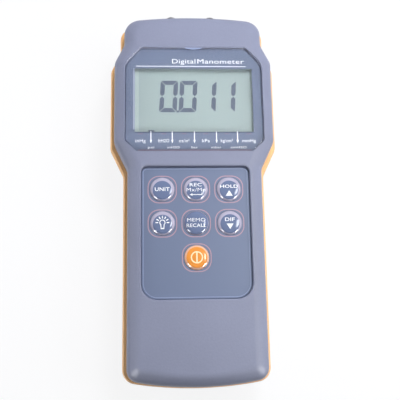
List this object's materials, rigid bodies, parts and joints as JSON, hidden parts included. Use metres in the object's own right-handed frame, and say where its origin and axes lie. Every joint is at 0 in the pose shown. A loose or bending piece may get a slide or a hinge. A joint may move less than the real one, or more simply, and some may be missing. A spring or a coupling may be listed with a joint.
{
  "type": "digital manometer",
  "caption": "Hand-held digital pressure gauge: blue-grey case with an orange side strip, eight-sided display lens, sunk keypad and two barbed pressure ports.",
  "frame": {"origin": "on the resting face, under the middle of the whole length with the ports", "axes": "+Z is the normal of the front face, +Y points to the pressure ports, +X to the right"},
  "size_m": [0.072, 0.166, 0.034],
  "materials": {
    "case_plastic": "fine satin blue-grey",
    "strip_rubber": "satin orange elastomer",
    "clear_lens": "polished clear acrylic",
    "lens_print": "flat blue-grey print",
    "lcd_glass": "pale green-grey reflective display",
    "white_plastic": "moulded white",
    "zebra_rubber": "striped grey and black elastomer",
    "keypad_film": "smooth satin film",
    "key_film": "glossy domed",
    "power_film": "glossy domed orange",
    "mat_rubber": "moulded silicone",
    "gold_contact": "gold plated",
    "board_laminate": "green solder mask on glass-fibre laminate",
    "chip_black": "moulded black",
    "screw_steel": "zinc plated",
    "buzzer_black": "moulded black",
    "sensor_body": "moulded off-white",
    "soft_tube": "translucent silicone",
    "nickel_brass": "nickel plated and turned",
    "seal_rubber": "black seal",
    "battery_jacket": "printed metal jacket",
    "snap_plastic": "black vinyl",
    "lead_vinyl": "red vinyl insulation",
    "foam": "closed-cell foam pad",
    "insert_brass": "turned and knurled"
  },
  "bodies": {
    "case": {"front_shell": "case_plastic", "rear_shell": "case_plastic", "side_band": "strip_rubber", "display_lens": "clear_lens", "lens_mask": "lens_print", "lcd_panel": "lcd_glass", "lcd_holder": "white_plastic", "zebra_strips": "zebra_rubber", "backlight_panel": "white_plastic", "keypad_panel": "keypad_film", "keypad_mat": "mat_rubber", "contact_pads": "gold_contact", "main_board": "board_laminate", "board_chips": "chip_black", "board_screws": "screw_steel", "buzzer": "buzzer_black", "pressure_sensor": "sensor_body", "high_tube": "soft_tube", "low_tube": "soft_tube", "high_port": "nickel_brass", "low_port": "nickel_brass", "port_nuts": "nickel_brass", "port_rings": "seal_rubber", "battery": "battery_jacket", "battery_snap": "snap_plastic", "battery_leads": "lead_vinyl", "battery_foam": "foam", "stand_pin": "screw_steel", "tripod_insert": "insert_brass", "case_screws": "screw_steel"},
    "unit_key": {"unit_key": "key_film"},
    "record_key": {"record_key": "key_film"},
    "hold_key": {"hold_key": "key_film"},
    "light_key": {"light_key": "key_film"},
    "memo_key": {"memo_key": "key_film"},
    "diff_key": {"diff_key": "key_film"},
    "power_key": {"power_key": "power_film"},
    "battery_door": {"battery_door": "case_plastic"},
    "tilt_stand": {"tilt_stand": "case_plastic"}
  },
  "joints": [
    {"name": "unit_press", "type": "slide", "parent": "case", "child": "unit_key", "axis": [0, 0, -1], "range_m": [0, 0.0007], "stiffness_N_per_m": 2400},
    {"name": "record_press", "type": "slide", "parent": "case", "child": "record_key", "axis": [0, 0, -1], "range_m": [0, 0.0007], "stiffness_N_per_m": 2400},
    {"name": "hold_press", "type": "slide", "parent": "case", "child": "hold_key", "axis": [0, 0, -1], "range_m": [0, 0.0007], "stiffness_N_per_m": 2400},
    {"name": "light_press", "type": "slide", "parent": "case", "child": "light_key", "axis": [0, 0, -1], "range_m": [0, 0.0007], "stiffness_N_per_m": 2400},
    {"name": "memo_press", "type": "slide", "parent": "case", "child": "memo_key", "axis": [0, 0, -1], "range_m": [0, 0.0007], "stiffness_N_per_m": 2400},
    {"name": "diff_press", "type": "slide", "parent": "case", "child": "diff_key", "axis": [0, 0, -1], "range_m": [0, 0.0007], "stiffness_N_per_m": 2400},
    {"name": "power_press", "type": "slide", "parent": "case", "child": "power_key", "axis": [0, 0, -1], "range_m": [0, 0.0007], "stiffness_N_per_m": 2400},
    {"name": "door_slide", "type": "slide", "parent": "case", "child": "battery_door", "axis": [0, -1, 0], "range_m": [0, 0.055]},
    {"name": "stand_hinge", "type": "hinge", "parent": "case", "child": "tilt_stand", "pos_m": [0, 0.0525, 0.0025], "axis": [1, 0, 0], "range_deg": [0, 60]}
  ]
}
